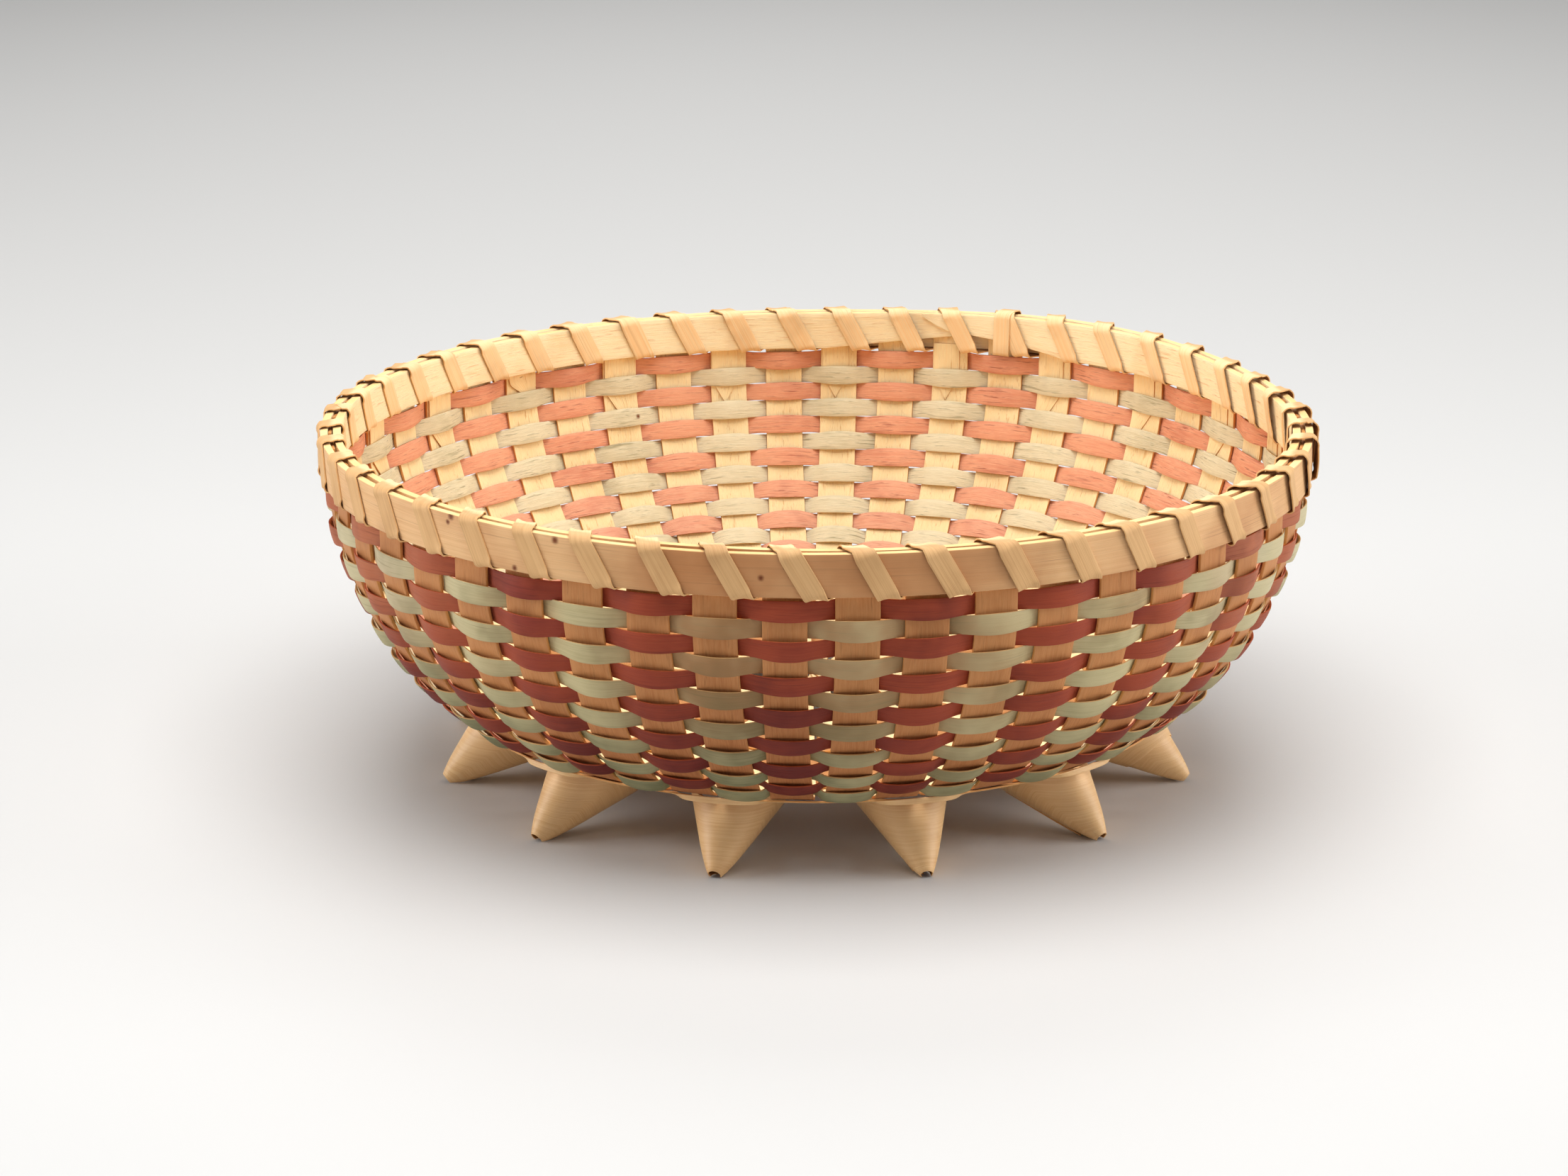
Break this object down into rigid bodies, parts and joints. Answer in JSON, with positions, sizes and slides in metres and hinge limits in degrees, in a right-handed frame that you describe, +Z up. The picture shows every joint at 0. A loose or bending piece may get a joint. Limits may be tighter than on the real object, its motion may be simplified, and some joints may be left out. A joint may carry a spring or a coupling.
{
  "type": "woven basket",
  "caption": "Round shallow ash splint basket with interlaced red and green rows, a lashed double-hoop rim and rolled cone feet.",
  "frame": {"origin": "on the floor, in the middle of the ring of cone feet, under the hub of the base", "axes": "+Z up out of the bowl's mouth; +X through a gap between two stakes, midway between two feet"},
  "size_m": [0.252, 0.252, 0.0896],
  "materials": {
    "stake_ash": "undyed split ash, aged golden brown, satin outside and fibrous inside",
    "rim_ash": "shaved ash hoop, aged tan brown, satin",
    "lash_ash": "thin undyed ash lashing, pale tan, satin",
    "red_ash": "ash splint dyed brick red, faded, pale undyed edges",
    "green_ash": "ash splint dyed sage green, faded, pale undyed edges",
    "base_ash": "undyed ash splint, pale gold, satin",
    "cone_ash": "undyed ash splint rolled into cones, pale gold, satin, with grain round the cone"
  },
  "bodies": {
    "root": {"standard_01": "stake_ash", "standard_02": "stake_ash", "standard_03": "stake_ash", "standard_04": "stake_ash", "standard_05": "stake_ash", "standard_06": "stake_ash", "standard_07": "stake_ash", "standard_08": "stake_ash", "standard_09": "stake_ash", "standard_10": "stake_ash", "standard_11": "stake_ash", "standard_12": "stake_ash", "base_row_1": "base_ash", "base_row_2": "base_ash", "base_row_3": "base_ash", "base_row_4": "base_ash", "red_row_1": "red_ash", "green_row_1": "green_ash", "red_row_2": "red_ash", "green_row_2": "green_ash", "red_row_3": "red_ash", "green_row_3": "green_ash", "red_row_4": "red_ash", "green_row_4": "green_ash", "red_row_5": "red_ash", "green_row_5": "green_ash", "red_row_6": "red_ash", "green_row_6": "green_ash", "red_row_7": "red_ash", "green_row_7": "green_ash", "foot_band": "base_ash", "outer_hoop": "rim_ash", "inner_hoop": "rim_ash", "lashing_1": "lash_ash", "lashing_2": "lash_ash", "foot_01": "cone_ash", "foot_02": "cone_ash", "foot_03": "cone_ash", "foot_04": "cone_ash", "foot_05": "cone_ash", "foot_06": "cone_ash", "foot_07": "cone_ash", "foot_08": "cone_ash", "foot_09": "cone_ash", "foot_10": "cone_ash", "foot_11": "cone_ash", "foot_12": "cone_ash"}
  },
  "joints": []
}
